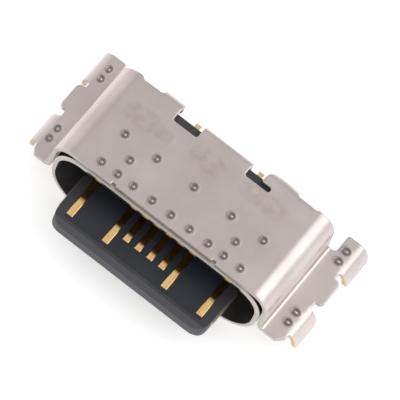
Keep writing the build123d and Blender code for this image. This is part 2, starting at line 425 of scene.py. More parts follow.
@dataclass(frozen=True)
class DrawnTube:
    """Drawn steel, satin outside; duller inside, and darkened there with mottled painted shade."""

    name: str
    colour: Colour
    # The inside's colours are painted shade, darker than the outside.
    inner_shade_colour: Colour
    roughness: float = 0.20
    inner_roughness: float = 0.45
    dark_share: float = 0.86
    deep_shade_share: float = 0.6
    straight_half: float = 2.89
    middle: float = 1.45
    inside_limit: float = -0.12
    cloud_scale: float = 700
    line_scale: Place = (2600, 500, 2600)
    bump: Point = (0.004, 0.3)

    def _inside(self, g: Surface) -> Socket:
        """Tell the faces that look at the tube's middle line from the others, so that the inside
        can take painted shade.

        Args:
            g: The material's nodes.

        Returns:
            A socket that is 1 inside, and 0 outside and on the rim.
        """
        where = g.place()
        reach = self.straight_half * MM
        nearest = g.add(
            "ShaderNodeClamp", {"Value": g.part(where, Axis.ACROSS), "Min": -reach, "Max": reach}
        )
        line = g.add(
            "ShaderNodeCombineXYZ",
            {"X": nearest.outputs[0], "Y": g.part(where, Axis.BACK), "Z": self.middle * MM},
        )
        away = g.vector(Sum.SUBTRACT, where, line.outputs[0])
        faces = g.add("ShaderNodeNewGeometry").outputs["True Normal"]
        facing = g.vector(Sum.DOT_PRODUCT, away, faces)
        return g.maths(Sum.LESS_THAN, facing, self.inside_limit * MM)

    def material(self) -> bpy.types.Material:
        """Build the material, with drawing lines along the tube and a mottled inside darkened with
        painted shade.

        Returns:
            The material.
        """
        g = Surface(self.name)
        in_painted_shade = self._inside(g)
        clouds = g.noise(self.cloud_scale)
        lines = g.noise(self.line_scale, 2)
        darker = tuple(self.dark_share * level for level in self.colour)
        # Painted shade: the inside takes darker colours, as if little light reached into the tube.
        deeper_shade = tuple(self.deep_shade_share * level for level in self.inner_shade_colour)
        outer = g.mix(g.ramp(clouds, ((0.3, 0.0), (0.7, 1.0))), darker, self.colour)
        inner = g.mix(g.ramp(clouds, ((0.35, 0.0), (0.65, 1.0))), self.inner_shade_colour, deeper_shade)
        level = g.ramp(lines, ((0.2, self.roughness - 0.03), (0.8, self.roughness + 0.05)))
        level = g.mix(in_painted_shade, level, grey(self.inner_roughness))
        return g.skin(g.mix(in_painted_shade, outer, inner), level, lines, self.bump)


@dataclass(frozen=True)
class CutEdge:
    """The sheared edge of sheet metal: bare, grained, warm in tint on the legs' fronts."""

    name: str
    colour: Colour
    tint: Colour
    leg_reach: float = 6.7
    leg_stops: tuple[Point, ...] = ((0.795, 0.0), (0.815, 0.45), (0.84, 1.0))
    front_stops: tuple[Point, ...] = ((0.55, 0.18), (0.75, 1.0))
    plain_middle: float = 1.04
    plain_half: float = 0.70
    patch_scale: float = 900
    grain_scale: Place = (14000, 14000, 900)
    bump: Point = (0.006, 0.5)

    def _tinted(self, g: Surface) -> Socket:
        """Find how warm the edge is: in patches, on the legs, and mostly on their fronts.

        Args:
            g: The material's nodes.

        Returns:
            The socket of the tint's share.
        """
        patches = g.ramp(g.noise(self.patch_scale), ((0.35, 0.55), (0.65, 1.0)))
        across = g.part(g.place((1 / (self.leg_reach * MM), 1, 1)), Axis.ACROSS)
        legs = g.ramp(g.maths(Sum.ABSOLUTE, across), self.leg_stops)
        back = g.part(g.place(), Axis.BACK)
        plain = g.maths(Sum.COMPARE, back, self.plain_middle * MM, self.plain_half * MM)
        legs = g.maths(Sum.MULTIPLY, legs, g.maths(Sum.SUBTRACT, 1.0, plain))
        faces = g.add("ShaderNodeNewGeometry").outputs["True Normal"]
        ahead = g.maths(Sum.MULTIPLY, g.part(faces, Axis.BACK), -1.0)
        share = g.maths(Sum.MULTIPLY, patches, legs)
        return g.maths(Sum.MULTIPLY, share, g.ramp(ahead, self.front_stops))

    def material(self) -> bpy.types.Material:
        """Build the material, with shear grain across the edge.

        Returns:
            The material.
        """
        g = Surface(self.name)
        grain = g.noise(self.grain_scale, 2)
        base = g.mix(self._tinted(g), self.colour, self.tint)
        return g.skin(base, g.ramp(grain, ((0.2, 0.32), (0.8, 0.55))), grain, self.bump)


@dataclass(frozen=True)
class GoldPlate:
    """Thin gold over nickel, satin, rubbed pale where plugs slide."""

    name: str
    colour: Colour
    pale: Colour
    tail_colour: Colour
    tail_start: float = 2.3
    wipe_scale: Place = (9000, 500, 900)
    grain_scale: float = 9000
    bump: Point = (0.002, 0.2)

    def material(self) -> bpy.types.Material:
        """Build the material, with wipe marks along the contacts and paler tails.

        Returns:
            The material.
        """
        g = Surface(self.name)
        wipes = g.noise(self.wipe_scale)
        grain = g.noise(self.grain_scale, 2)
        base = g.mix(g.ramp(wipes, ((0.35, 0.0), (0.7, 1.0))), self.colour, self.pale)
        behind = g.maths(Sum.GREATER_THAN, g.part(g.place(), Axis.BACK), self.tail_start * MM)
        base = g.mix(behind, base, self.tail_colour)
        return g.skin(base, g.ramp(grain, ((0.2, 0.08), (0.8, 0.13))), wipes, self.bump)


@dataclass(frozen=True)
class Moulding:
    """Glass-filled black moulding with a fine spark-eroded texture, and a painted sheen on faces
    turned forward and up.
    """

    name: str
    colour: Colour
    # Colour of the painted sheen on faces turned forward and up.
    front_sheen: Colour = linear(78, 78, 84)
    roughness: float = 0.5
    light_share: float = 1.5
    light_extra: float = 0.004
    sheen_way: Place = (0, -1, 0.6)
    cloud_scale: float = 800
    grain_scale: float = 11000
    bump: Point = (0.006, 0.5)

    def material(self) -> bpy.types.Material:
        """Build the material, with fine grain, broad clouds and a painted sheen that makes faces
        ahead paler.

        Returns:
            The material.
        """
        g = Surface(self.name)
        grain = g.noise(self.grain_scale)
        clouds = g.noise(self.cloud_scale)
        lighter = tuple(self.light_share * level + self.light_extra for level in self.colour)
        base = g.mix(g.ramp(clouds, ((0.3, 0.0), (0.75, 1.0))), self.colour, lighter)
        # Painted sheen: faces turned forward and up are paler, as if they caught the light.
        faces = g.add("ShaderNodeNewGeometry").outputs["Normal"]
        ahead = g.vector(Sum.DOT_PRODUCT, faces, self.sheen_way)
        base = g.mix(g.ramp(ahead, ((0.70, 0.0), (0.95, 0.8))), base, self.front_sheen)
        level = g.ramp(grain, ((0.2, self.roughness - 0.08), (0.8, self.roughness + 0.1)))
        return g.skin(base, level, grain, self.bump, metallic=0.0)


class Finish(Enum):
    """The finishes of the part's pieces."""

    COVER_STEEL = SheetSteel("cover_steel", linear(208, 197, 194), 0.30)
    COVER_CUT = CutEdge("cover_cut", linear(196, 188, 184), linear(222, 176, 110))
    WELD_METAL = SheetSteel("weld_metal", linear(150, 140, 136), 0.22)
    TUBE_STEEL = DrawnTube("tube_steel", linear(200, 193, 188), linear(178, 176, 180))
    PLATE_STEEL = CutEdge("plate_steel", linear(190, 182, 176), linear(205, 190, 170))
    BLACK_MOULDING = Moulding("black_moulding", linear(48, 45, 49))
    INSULATOR = Moulding("insulator_moulding", linear(24, 26, 36))
    GOLD = GoldPlate(
        "gold_plate", linear(252, 202, 130), linear(254, 222, 168), linear(244, 214, 172)
    )


Nodes = dict[str, bpy.types.Object]
Finishes = dict[Finish, bpy.types.Material]


# Bent lines and blanks


def left_of(heading: np.ndarray) -> np.ndarray:
    """The unit normal on the left of a heading."""
    return np.array([-heading[1], heading[0]]) / np.linalg.norm(heading)


def round_corner(
    before: np.ndarray, here: np.ndarray, after: np.ndarray, radius: float, angle: float, least: int
) -> list[tuple[np.ndarray, np.ndarray]]:
    """Walk the arc that rounds one corner of a line.

    Args:
        before: The corner before this one.
        here: This corner.
        after: The corner after it.
        radius: The arc's radius, or 0 for a sharp corner.
        angle: The largest turn between neighbouring points.
        least: The fewest steps in the arc.

    Returns:
        Place and left-hand normal of each point of the arc.
    """
    into, away = here - before, after - here
    into, away = into / np.linalg.norm(into), away / np.linalg.norm(away)
    turn = math.atan2(into[0] * away[1] - into[1] * away[0], into @ away)
    if radius == 0 or abs(turn) < STRAIGHT:
        return [(here, left_of(into))]
    reach = radius * math.tan(abs(turn) / 2)
    side = math.copysign(1, turn)
    centre = here - into * reach + left_of(into) * radius * side
    steps = max(least, math.ceil(abs(turn) / angle))
    arc = []
    for step in range(steps + 1):
        c, s = math.cos(turn * step / steps), math.sin(turn * step / steps)
        normal = left_of(np.array([c * into[0] - s * into[1], s * into[0] + c * into[1]]))
        arc.append((centre - normal * radius * side, normal))
    return arc


def walk_bends(corners: Sequence[Point], radii: Sequence[float]) -> np.ndarray:
    """Walk the middle line of bent sheet: straight runs joined by arcs.

    Args:
        corners: Two coordinates of each corner, its ends among them.
        radii: The arc's radius at each corner between the ends.

    Returns:
        Rows of length along the line, the two coordinates, and the two parts of the
        normal on the left of the line.
    """
    points = [np.array(corner, float) for corner in corners]
    out = [(points[0], left_of(points[1] - points[0]))]
    for before, here, after, radius in zip(points, points[1:], points[2:], radii):
        out += round_corner(before, here, after, radius, math.radians(2), 2)
    out.append((points[-1], left_of(points[-1] - points[-2])))
    places = np.array([place for place, _ in out])
    runs = np.linalg.norm(np.diff(places, axis=0), axis=1)
    lengths = np.concatenate([[0], np.cumsum(runs)])
    return np.column_stack([lengths, places, np.array([normal for _, normal in out])])


def read_line(rows: np.ndarray, lengths: np.ndarray) -> tuple[np.ndarray, ...]:
    """Coordinates and normals of a walked line at the given lengths."""
    return tuple(np.interp(lengths, rows[:, 0], rows[:, column]) for column in range(1, 5))


def rounded_outline(corners: Sequence[Corner], spacing: float) -> np.ndarray:
    """Make a closed outline with rounded corners.

    Args:
        corners: Two coordinates and a radius for each corner, anticlockwise.
        spacing: The largest distance between neighbouring points.

    Returns:
        One row of two coordinates for each point.
    """
    places = [np.array(corner[:2], float) for corner in corners]
    track: list[np.ndarray] = []
    for number, (here, (_, _, radius)) in enumerate(zip(places, corners)):
        after = places[(number + 1) % len(places)]
        arc = round_corner(places[number - 1], here, after, radius, math.radians(15), 3)
        track += [place for place, _ in arc]
    out = []
    for here, after in zip(track, track[1:] + track[:1]):
        pieces = max(1, math.ceil(np.linalg.norm(after - here) / spacing))
        out += [here + (after - here) * piece / pieces for piece in range(pieces)]
    return np.array(out)


def inset(outline: np.ndarray, depth: float) -> np.ndarray:
    """Move an anticlockwise outline inwards, with mitred corners.

    Args:
        outline: One row of two coordinates for each point.
        depth: How far each edge moves.

    Returns:
        The moved outline.
    """
    into = outline - np.roll(outline, 1, axis=0)
    away = np.roll(into, -1, axis=0)
    one, other = (
        np.column_stack([-edge[:, 1], edge[:, 0]]) / np.linalg.norm(edge, axis=1)[:, None]
        for edge in (into, away)
    )
    meet = np.maximum(1 + (one * other).sum(1), 0.3)
    return outline + depth * (one + other) / meet[:, None]


def distance_to(outline: np.ndarray, points: np.ndarray) -> np.ndarray:
    """Measure how far points are from a closed outline.

    Args:
        outline: One row of two coordinates for each of its points.
        points: One row of two coordinates for each point.

    Returns:
        The distance of each point.
    """
    out = np.full(len(points), np.inf)
    for start, end in zip(outline, np.roll(outline, -1, axis=0)):
        edge = end - start
        share = np.clip(((points - start) @ edge) / max(edge @ edge, 1e-12), 0, 1)
        out = np.minimum(out, np.linalg.norm(points - start - share[:, None] * edge, axis=1))
    return out


def inside(outline: np.ndarray, points: np.ndarray) -> np.ndarray:
    """Tell which points lie inside a closed outline.

    Args:
        outline: One row of two coordinates for each of its points.
        points: One row of two coordinates for each point.

    Returns:
        True or false for each point.
    """
    odd = np.zeros(len(points), bool)
    for (x0, y0), (x1, y1) in zip(outline, np.roll(outline, -1, axis=0)):
        if y0 == y1:
            continue
        crosses = (points[:, 1] < y0) != (points[:, 1] < y1)
        odd ^= crosses & (points[:, 0] < (x1 - x0) * (points[:, 1] - y0) / (y1 - y0) + x0)
    return odd


# Studio


@dataclass(frozen=True)
class Lamp:
    """A rectangular lamp that points at the middle of the part."""

    name: str
    towards: Place
    size: Point
    power: float
    distance: float = 120.0
    colour: Colour = (0.95, 1.0, 1.0)

    def hang(self, aim: Vector) -> None:
        """Hang the lamp in its direction from the aim, facing it.

        Args:
            aim: The place that it lights, in metres.
        """
        data = bpy.data.lights.new(self.name, "AREA")
        data.shape = "RECTANGLE"
        data.size, data.size_y = self.size[0] * MM, self.size[1] * MM
        data.energy = self.power
        data.color = self.colour
        thing = show(bpy.data.objects.new(self.name, data))
        direction = Vector(self.towards).normalized()
        thing.location = aim + direction * self.distance * MM
        thing.rotation_mode = "QUATERNION"
        thing.rotation_quaternion = direction.to_track_quat("Z", "Y")


@dataclass(frozen=True)
class Sight:
    """The place from which the photograph was taken, in degrees and millimetres."""

    azimuth: float = 13.743
    elevation: float = 64.240
    roll: float = 25.169
    aim: Place = (0.335, 0.386, 2.287)
    distance: float = 203.06
    across: float = 13.418
    sensor: float = 36.0
    nearest: float = 10
    furthest: float = 2000

    def axes(self) -> tuple[Vector, Vector, Vector]:
        """Work out the camera's own axes.

        Returns:
            Its right, up and backward directions.
        """
        a, e, r = (math.radians(v) for v in (self.azimuth, self.elevation, self.roll))
        right = Vector((math.cos(a), math.sin(a), 0))
        back = Vector((math.sin(a) * math.cos(e), -math.cos(a) * math.cos(e), math.sin(e)))
        up = back.cross(right)
        rolled_right = right * math.cos(r) + up * math.sin(r)
        return rolled_right, up * math.cos(r) - right * math.sin(r), back

    def place(self) -> None:
        """Make the scene's camera."""
        right, up, back = self.axes()
        data = bpy.data.cameras.new("camera")
        data.sensor_width = self.sensor
        data.lens = self.sensor * self.distance / self.across
        data.clip_start, data.clip_end = self.nearest * MM, self.furthest * MM
        camera = show(bpy.data.objects.new("camera", data))
        where = Matrix.Translation((Vector(self.aim) + back * self.distance) * MM)
        camera.matrix_world = where @ Matrix((right, up, back)).transposed().to_4x4()
        bpy.context.scene.camera = camera


@dataclass(frozen=True)
class Studio:
    """A sky that is brighter on both sides than overhead, a lamp and a pale floor."""

    sky: tuple[Point, ...] = (
        (0.0, 1.0), (0.15, 0.95), (0.24, 0.80), (0.345, 0.64),
        (0.45, 0.68), (0.7, 0.84), (0.93, 1.12),
    )
    lamps: tuple[Lamp, ...] = (Lamp("right_box", (0.51, 0.41, 0.755), (104, 92), 0.033),)
    aim: Place = (0, 0, 2)
    floor_half: float = 400
    floor_level: float = -0.01
    floor_grey: float = 0.82
    floor_lift: float = 0.50

    def build(self) -> None:
        """Light the scene and lay the floor."""
        self._hang_sky()
        for lamp in self.lamps:
            lamp.hang(Vector(self.aim) * MM)
        self._lay_floor()

    def _hang_sky(self) -> None:
        """Let the sky's level follow its stops from left to right."""
        world = bpy.data.worlds.new("sky")
        world.use_nodes = True
        g = Graph(world.node_tree)
        across = g.part(g.add("ShaderNodeTexCoord").outputs["Generated"], Axis.ACROSS)
        share = g.add("ShaderNodeMapRange", {"Value": across, "From Min": -1.0}).outputs["Result"]
        light = g.add("ShaderNodeBackground", {"Color": g.ramp(share, self.sky)})
        g.add("ShaderNodeOutputWorld", {"Surface": light.outputs[0]})
        bpy.context.scene.world = world

    def _lay_floor(self) -> None:
        """Lay a floor that looks white and keeps the part's soft shadow."""
        half = self.floor_half
        corners = [(-half, -half), (half, -half), (half, half), (-half, half)]
        points = np.array([(x, y, self.floor_level) for x, y in corners])
        floor = mesh_object("floor", points, [(0, 1, 2, 3)])
        g = Surface("floor_white")
        path = g.add("ShaderNodeLightPath").outputs
        seen = path[Ray.CAMERA.value]
        for ray in (Ray.GLOSSY, Ray.TRANSMISSION):
            seen = g.maths(Sum.MAXIMUM, seen, path[ray.value])
        matt = g.add("ShaderNodeBsdfDiffuse", {"Color": (*grey(self.floor_grey), 1)})
        lift = g.maths(Sum.MULTIPLY, seen, self.floor_lift)
        glow = g.add("ShaderNodeEmission", {"Strength": lift})
        both = g.add("ShaderNodeAddShader", {0: matt.outputs[0], 1: glow.outputs[0]})
        floor.data.materials.append(g.close(both))


# Welds


@dataclass(frozen=True)
class Weld:
    """One laser weld: a bowl with a nub in its middle and a raised lip round it."""

    radius: float = 0.14
    depth: float = 0.05
    nub_height: float = 0.058
    nub_width: float = 0.52
    lip_height: float = 0.010
    lip_place: float = 1.02
    lip_width: float = 0.16
    ring_radii: tuple[float, ...] = (0.045, 0.085, 0.115, 0.135, 0.15, 0.17, 0.20)
    ring_points: int = 20
    clearance: float = 0.215

    def height(self, distance: np.ndarray) -> np.ndarray:
        """Shape the sheet's face round the weld.

        Args:
            distance: Distance of each point from the weld's middle.

        Returns:
            Each point's height above the flat face.
        """
        share = distance / self.radius
        bowl = -self.depth * np.clip(1 - share**2, 0, 1)
        nub = self.nub_height * np.exp(-((share / self.nub_width) ** 2))
        lip = self.lip_height * np.exp(-(((share - self.lip_place) / self.lip_width) ** 2))
        return bowl + nub + lip

    def tint(self, distance: np.ndarray) -> np.ndarray:
        """How dark the ring round the bare nub is painted: the shade of the bowl's steep walls,
        partly heat tint.
        """
        share = distance / self.radius
        return np.clip(1.30 - share, 0, 1) ** 0.5 * np.clip(share / 0.42 - 0.35, 0, 1)

    def melt(self, distance: np.ndarray) -> np.ndarray:
        """How smoothly the steel has melted, from 1 in the bowl to 0 at its edge."""
        return np.clip(4 - 4 * distance / self.radius, 0, 1)

    def rings(self, places: np.ndarray) -> np.ndarray:
        """Set rings of mesh points round welds, so that each bowl is round.

        Args:
            places: Two coordinates of each weld's middle on the blank.

        Returns:
            The middles, and then the points of every ring.
        """
        turns = np.linspace(0, 2 * math.pi, self.ring_points, endpoint=False)
        out = [places]
        for number, radius in enumerate(self.ring_radii):
            shifted = turns + (number % 2) * (turns[1] / 2)
            ring = radius * np.column_stack([np.cos(shifted), np.sin(shifted)])
            out.append((places[:, None] + ring[None]).reshape(-1, 2))
        return np.vstack(out)


@dataclass(frozen=True)
class WeldRims:
    """Beads of melted metal round the weld dimples, one lumpy ring set out at each."""

    radius: float = 0.128
    bead: float = 0.014
    seed: int = 11
    lift: float = 0.002
    ring_steps: int = 26
    bead_steps: int = 8
    smallest: float = 0.94
    largest: float = 1.05
    lump_scale: float = 7000.0
    lump_depth: float = 0.022

    def _ring_tree(self) -> bpy.types.NodeTree:
        """Write the tree that sets a ring on every point, turned and sized by chance.

        Returns:
            The tree, with inputs for the ring's sizes, its seed and its finish.
        """
        tree = bpy.data.node_groups.new("weld_rings", "GeometryNodeTree")
        sockets = {
            "Geometry": "NodeSocketGeometry", "Radius": "NodeSocketFloat",
            "Bead": "NodeSocketFloat", "Seed": "NodeSocketInt", "Finish": "NodeSocketMaterial",
        }
        for name, kind in sockets.items():
            tree.interface.new_socket(name, in_out="INPUT", socket_type=kind)
        tree.interface.new_socket("Geometry", in_out="OUTPUT", socket_type="NodeSocketGeometry")
        g = Graph(tree)
        given = g.add("NodeGroupInput").outputs
        circle, section = (
            g.add("GeometryNodeCurvePrimitiveCircle", {"Resolution": steps, "Radius": given[name]})
            for steps, name in ((self.ring_steps, "Radius"), (self.bead_steps, "Bead"))
        )
        ring = g.add(
            "GeometryNodeCurveToMesh",
            {"Curve": circle.outputs["Curve"], "Profile Curve": section.outputs["Curve"]},
        )
        turn, size = (
            g.add("FunctionNodeRandomValue", {2: low, 3: high, "Seed": given["Seed"]},
                  data_type="FLOAT").outputs[1]
            for low, high in ((0.0, 2 * math.pi), (self.smallest, self.largest))
        )
        spin = g.add("ShaderNodeCombineXYZ", {"Z": turn})
        rings = g.add(
            "GeometryNodeInstanceOnPoints",
            {"Points": given["Geometry"], "Instance": ring.outputs[0],
             "Rotation": spin.outputs[0], "Scale": size},
        )
        real = g.add("GeometryNodeRealizeInstances", {0: rings.outputs[0]})
        where = g.add("GeometryNodeInputPosition").outputs[0]
        values = {"Vector": where, "Scale": self.lump_scale, "Detail": 1.0}
        lumps = g.add("ShaderNodeTexNoise", values).outputs["Color"]
        lumps = g.vector(Sum.SUBTRACT, lumps, (0.5, 0.5, 0.5))
        reach = g.vector(Sum.MULTIPLY, lumps, (self.lump_depth * MM,) * 3)
        moved = g.add("GeometryNodeSetPosition", {"Geometry": real.outputs[0], "Offset": reach})
        smooth = g.add("GeometryNodeSetShadeSmooth", {"Geometry": moved.outputs[0]})
        coated = g.add(
            "GeometryNodeSetMaterial", {"Geometry": smooth.outputs[0], "Material": given["Finish"]}
        )
        g.add("NodeGroupOutput", {0: coated.outputs[0]})
        return tree

    def build(self, name: str, places: np.ndarray, finish: bpy.types.Material) -> bpy.types.Object:
        """Make the rims as one plain mesh.

        Args:
            name: The piece's name.
            places: X, Y and Z of each weld's middle on the sheet's face, in millimetres.
            finish: The rims' material.

        Returns:
            The rims.
        """
        points = mesh_object(name + "_points", places, [])
        tree = self._ring_tree()
        holder = points.modifiers.new("rings", "NODES")
        holder.node_group = tree
        values = {
            "Radius": self.radius * MM, "Bead": self.bead * MM, "Seed": self.seed, "Finish": finish,
        }
        for item in tree.interface.items_tree:
            if item.in_out == "INPUT" and item.name in values:
                holder[item.identifier] = values[item.name]
        shape = points.evaluated_get(bpy.context.evaluated_depsgraph_get())
        mesh = bpy.data.meshes.new_from_object(shape)
        mesh.name = name
        bpy.data.objects.remove(points)
        if not mesh.materials:
            mesh.materials.append(finish)
        return show(bpy.data.objects.new(name, mesh))


# Cover


@dataclass(frozen=True)
class Hand:
    """What one side of the photographed cover has of its own, with shifts counted outwards."""

    side: Side
    step: float
    tab: float
    shift: float
    splay: float = 0.0


@dataclass(frozen=True)
class Lip:
    """A lip bent down at the rear: its two sides, how far back it stands, and its bend."""

    inner: float
    outer: float
    rear: float
    radius: float


@dataclass(frozen=True)
class Patch:
    """A faint matt place on the cover's top, left without characters."""

    across: float
    back: float
    half_width: float
    half_depth: float

    def share(self, blank: np.ndarray) -> np.ndarray:
        """How matt each point of the blank is, from 0 to 1."""
        places = (blank - (self.across, self.back)) / (self.half_width, self.half_depth)
        return np.clip(1.4 - (places**4).sum(1), 0, 1)


@dataclass
class Cover:
    """The stamped cover: one blank of sheet, cut to its outline and bent to its section.

    Lengths across are counted along the sheet from its middle, and lengths back from its
    front edge. Two numbers together are lengths across and back, or a start and an end.
    """

    # The section, seen from the plug
    sheet: float = 0.17
    top: float = 3.07
    board: float = 1.10
    head: float = 4.42
    foot: float = 4.485
    shoulder_radius: float = 0.55
    wing_bend_radius: float = 0.11
    leg_bend_radius: float = 0.20
    leg_span: float = 11.30
    leg_bottom: float = 0.56

    # The front edge, set back a little between two small slits
    front: float = -1.525
    cut_half_width: float = 2.12
    cut_depth: float = 0.06
    relief_half_width: float = 0.08
    relief_depth: float = 0.14

    # The wings, their legs and the bump between the legs
    hands: tuple[Hand, Hand] = (
        Hand(Side.RIGHT, step=3.88, tab=0.50, shift=0.08, splay=0.14),
        Hand(Side.LEFT, step=3.84, tab=0.70, shift=-0.12),
    )
    shift_start: float = 4.85
    shift_run: float = 0.50
    wing_front_inset: float = 0.50
    wing_front_corner: float = 0.24
    wing_depth: float = 4.74
    leg_start: float = 5.36
    leg_places: tuple[Point, Point] = ((0.45, 1.70), (3.40, 4.74))
    leg_margin: float = 0.05
    leg_corner_radius: float = 0.17
    bump: Point = (2.00, 3.12)
    bump_reach: float = 0.28
    bump_chamfer: float = 0.12

    # The rear edge: its step, its three lips, and the finger and lobe of the right one
    depth: float = 3.94
    step_place: float = 3.70
    step_slope: float = 0.06
    notch_start: float = 3.30
    centre_lip: Lip = Lip(inner=0.0, outer=1.02, rear=3.92, radius=0.10)
    side_lip: Lip = Lip(inner=2.03, outer=2.72, rear=4.15, radius=0.25)
    lip_parting: float = 1.30
    lip_clearance: float = 0.20
    lip_flare: float = 0.14
    lip_drop: float = 0.80
    finger_root: float = 2.03
    finger_bends: tuple[Corner, Corner] = ((1.98, 4.28, 0.30), (1.62, 3.86, 0.30))
    finger_tip: Point = (1.58, 3.50)
    lobe_place: Point = (2.18, 3.50)
    lobe_size: Point = (0.55, 0.50)
    lobe_bulge: float = 0.05

    # The welds and the matt places
    weld: Weld = Weld()
    rims: WeldRims = WeldRims()
    weld_rows: tuple[tuple[float, tuple[float, ...]], ...] = (
        (0.45, (0.00, 0.79, 1.575, 2.24, 2.93)),
        (1.12, (2.24,)),
        (1.78, (0.00, 1.575, 2.93)),
    )
    wing_weld_x: float = 5.10
    wing_weld_places: tuple[float, ...] = (0.79, 1.26, 3.72, 4.19)
    patches: tuple[Patch, ...] = (
        Patch(-2.91, 2.67, 0.62, 0.42),
        Patch(-1.92, 2.63, 0.34, 0.26),
        Patch(-0.27, 2.85, 0.66, 0.40),
        Patch(2.08, 2.95, 0.92, 0.38),
    )

    # The mesh: the rounding of its cut edges, and the distances between its points
    edge_round: float = 0.030
    lower_round: float = 0.018
    edge_fade: float = 0.035
    rim_clearance: float = 0.03
    outline_spacing: float = 0.06
    spacing: float = 0.10
    bend_spacing: float = 0.045
    scan_step: float = 0.01
    lip_field: Point = (2.80, 3.44)
    lip_grid: Point = (2.75, 3.46)
    lip_spacing: Point = (0.08, 0.04)

    half: float = field(init=False)
    bent: np.ndarray = field(init=False)
    flat: np.ndarray = field(init=False)
    lips: tuple[np.ndarray, np.ndarray] = field(init=False)
    outline: np.ndarray = field(init=False)

    def __post_init__(self) -> None:
        """Walk the bend lines, and cut the blank's outline."""
        self.half = half = self.sheet / 2
        top_line, wing_line = self.top - half, self.board + half
        leg_line = self.leg_span / 2 - half
        bends = (self.shoulder_radius, self.wing_bend_radius, self.leg_bend_radius)
        radii = [radius + half for radius in bends]
        start = ((0.0, top_line), (self.head, top_line), (self.foot, wing_line))
        self.bent = walk_bends(
            (*start, (leg_line, wing_line), (leg_line, self.leg_bottom)), radii
        )
        self.flat = walk_bends((*start, (leg_line + 1, wing_line)), radii[:2])
        tip_line = self.top - self.lip_drop
        self.lips = tuple(
            walk_bends(
                ((0.0, top_line), (lip.rear - half, top_line), (lip.rear - half, tip_line)),
                (lip.radius + half,),
            )
            for lip in (self.centre_lip, self.side_lip)
        )
        self.outline = self._outline()

    def _along(self, x: float) -> float:
        """The length along the section at which the wing reaches X."""
        return float(np.interp(x, self.flat[:, 1], self.flat[:, 0]))

    def _side_edge(self, hand: Hand) -> list[Corner]:
        """Draw one side of the blank's edge, from the front to the side lip's outer corner.

        Args:
            hand: What this side has of its own.

        Returns:
            Length across, length back and corner radius of each corner.
        """
        end, leg_end = self._along(self.leg_start), self.bent[-1, 0]
        near = self.cut_half_width - self.relief_half_width
        far = self.cut_half_width + self.relief_half_width
        reach = end + self.bump_reach
        low, high = self.bump
        bump = [
            (end, low, 0.06), (reach - self.bump_chamfer, low, 0.05),
            (reach, low + self.bump_chamfer, 0.08), (reach, high - self.bump_chamfer, 0.08),
            (reach - self.bump_chamfer, high, 0.05), (end, high, 0.06),
        ]
        legs = [
            [(end, start, 0.04), (leg_end, start, self.leg_corner_radius),
             (leg_end, stop, self.leg_corner_radius)]
            for start, stop in self.leg_places
        ]
        notch = self._along(self.leg_start - hand.tab)
        return [
            (near, self.cut_depth, 0.0), (near, self.relief_depth, 0.05),
            (far, self.relief_depth, 0.05), (far, 0.0, 0.03),
            (self._along(self.leg_span / 2 - self.wing_front_inset), 0.0, 0.08),
            (end, self.wing_front_corner, 0.05),
            *legs[0], (end, self.leg_places[0][1], 0.04), *bump, *legs[1],
            (notch, self.wing_depth, 0.10), (notch, self.depth, 0.14),
            (self.step_place + self.step_slope, self.depth, 0.07),
            (self.step_place - self.step_slope, hand.step, 0.07),
            (self.side_lip.outer + self.lip_flare, hand.step, 0.12),
            (self.side_lip.outer, self.lips[1][-1, 0], 0.30),
        ]

    def _outline(self) -> np.ndarray:
        """Draw the blank's whole outline, with the right lip's finger across its notch.

        Returns:
            One row of two coordinates for each point, anticlockwise.
        """
        right, left = (self._side_edge(hand) for hand in self.hands)
        centre_end, side_end = (rows[-1, 0] for rows in self.lips)
        inner, centre = self.side_lip.inner, self.centre_lip.outer
        tip, notch = self.finger_tip[1], self.notch_start
        rear = [
            (self.finger_root, side_end, 0.24), *self.finger_bends,
            (*self.finger_tip, 0.09), (inner, tip, 0.08), (inner, notch, 0.09),
            (centre, notch, 0.10), (centre, centre_end, 0.15), (-centre, centre_end, 0.15),
            (-centre, notch, 0.10), (-inner, notch, 0.10), (-inner, side_end, 0.20),
        ]
        mirrored = [(-across, back, radius) for across, back, radius in reversed(left)]
        return rounded_outline(right + rear + mirrored, self.outline_spacing)

    def bend(self, blank: np.ndarray, lift: np.ndarray) -> np.ndarray:
        """Bend points of the blank into their places.

        Args:
            blank: Length across and length back of each point.
            lift: Distance of each point above the sheet's middle surface.

        Returns:
            X, Y and Z of each point.
        """
        across, back = np.abs(blank[:, 0]), blank[:, 1]
        sides = np.sign(blank[:, 0] + 1e-12)
        in_leg = np.zeros(len(blank), bool)
        for start, stop in self.leg_places:
            in_leg |= (back > start - self.leg_margin) & (back < stop + self.leg_margin)
        x, z, nx, nz = (
            np.where(in_leg, down, level)
            for down, level in zip(read_line(self.bent, across), read_line(self.flat, across))
        )
        x, y, z = x + nx * lift, back.copy(), z + nz * lift
        outer = np.clip((x - self.shift_start) / self.shift_run, 0, 1)
        fallen = np.clip((self.board - z) / (self.board - self.leg_bottom), 0, 1)
        for hand in self.hands:
            x += (sides == hand.side.value) * outer * (hand.shift + hand.splay * fallen)
        behind = back > self.notch_start
        inner = across < self.lip_parting
        beside = ~inner & (across < self.step_place - self.lip_clearance)
        for rows, chosen in zip(self.lips, (inner & behind, beside & behind)):
            along, height, ny, lip_nz = read_line(rows, back)
            y = np.where(chosen, along + ny * lift, y)
            z = np.where(chosen, height + lip_nz * lift, z)
        middle, start = self.lobe_place
        half_width, run = self.lobe_size
        lobe = np.clip(1 - ((blank[:, 0] - middle) / half_width) ** 2, 0, 1)
        y += self.lobe_bulge * lobe * np.clip((back - start) / run, 0, 1)
        return np.column_stack([x * sides, self.front + y, z])

